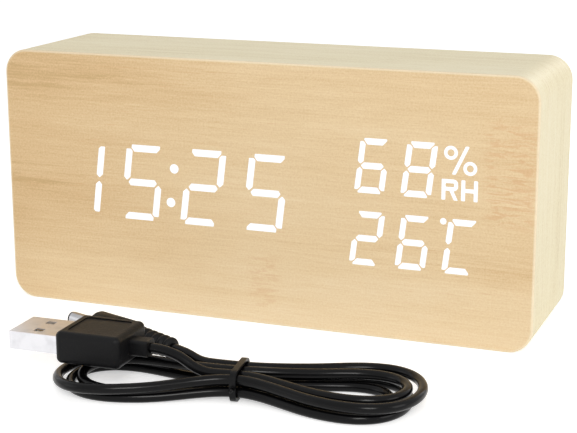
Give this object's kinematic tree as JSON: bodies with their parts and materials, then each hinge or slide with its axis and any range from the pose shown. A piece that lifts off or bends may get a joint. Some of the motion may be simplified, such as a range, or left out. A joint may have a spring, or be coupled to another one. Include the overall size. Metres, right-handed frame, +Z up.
{
  "type": "digital desk clock",
  "caption": "Rounded rectangular desk clock in a pale wood block with glowing seven-segment time, humidity and temperature, a rear cover with battery bay and buttons, and a tied charging lead.",
  "frame": {"origin": "on the surface the block stands on, under the middle of the block", "axes": "+X along the width to the right of somebody facing the display, +Y from the face to the back, +Z up; the display looks along -Y"},
  "size_m": [0.15, 0.1122, 0.071],
  "materials": {
    "blond_veneer": "satin",
    "fibreboard": "matte",
    "black_plastic": "matte",
    "white_plastic": "matte",
    "lit_white": "gloss",
    "circuit_board": "satin",
    "dark_chip": "matte",
    "lamp_resin": "gloss",
    "black_steel": "satin",
    "bright_steel": "satin",
    "plated_steel": "gloss",
    "contact_gold": "gloss",
    "grey_ribbon": "satin",
    "cream_plastic": "satin",
    "red_wire": "satin",
    "black_wire": "satin",
    "cord_jacket": "satin",
    "plug_rubber": "matte"
  },
  "bodies": {
    "clock": {"front_veneer": "blond_veneer", "side_veneer": "blond_veneer", "base_veneer": "blond_veneer", "front_board": "fibreboard", "case_frame": "fibreboard", "back_cover": "black_plastic", "cover_screws": "black_steel", "battery_contacts": "bright_steel", "battery_springs": "bright_steel", "battery_wire_red": "red_wire", "battery_wire_black": "black_wire", "display_reflector": "white_plastic", "time_segments": "lit_white", "humidity_segments": "lit_white", "temperature_segments": "lit_white", "unlit_segments": "lit_white", "display_board": "circuit_board", "display_leds": "lamp_resin", "display_screws": "bright_steel", "main_board": "circuit_board", "main_board_screws": "bright_steel", "button_switches": "dark_chip", "dc_inlet": "black_plastic", "dc_inlet_pin": "bright_steel", "microphone": "bright_steel", "humidity_sensor": "cream_plastic", "buzzer": "black_plastic", "control_chips": "dark_chip", "clock_crystal": "bright_steel", "coin_holder": "cream_plastic", "coin_cell": "bright_steel", "ribbon_connectors": "cream_plastic", "ribbon_cable": "grey_ribbon", "cord_hank": "cord_jacket", "cord_lead_usb": "cord_jacket", "cord_lead_dc": "cord_jacket", "cord_tie": "cord_jacket", "usb_overmold": "plug_rubber", "usb_shell": "plated_steel", "usb_tongue": "white_plastic", "usb_contacts": "contact_gold", "dc_plug_body": "plug_rubber", "dc_plug_barrel": "plated_steel", "dc_plug_insulator": "black_plastic"},
    "set_button": {"set_button": "black_plastic", "set_plunger": "cream_plastic"},
    "up_button": {"up_button": "black_plastic", "up_plunger": "cream_plastic"},
    "down_button": {"down_button": "black_plastic", "down_plunger": "cream_plastic"},
    "battery_door": {"battery_door": "black_plastic"}
  },
  "joints": [
    {"name": "set_press", "type": "slide", "parent": "clock", "child": "set_button", "axis": [0, -1, 0], "range_m": [0, 0.0007], "stiffness_N_per_m": 400},
    {"name": "up_press", "type": "slide", "parent": "clock", "child": "up_button", "axis": [0, -1, 0], "range_m": [0, 0.0007], "stiffness_N_per_m": 400},
    {"name": "down_press", "type": "slide", "parent": "clock", "child": "down_button", "axis": [0, -1, 0], "range_m": [0, 0.0007], "stiffness_N_per_m": 400},
    {"name": "battery_door_hinge", "type": "hinge", "parent": "clock", "child": "battery_door", "pos_m": [-0.037, 0.0175, 0.05325], "axis": [1, 0, 0], "range_deg": [0, 95]}
  ]
}
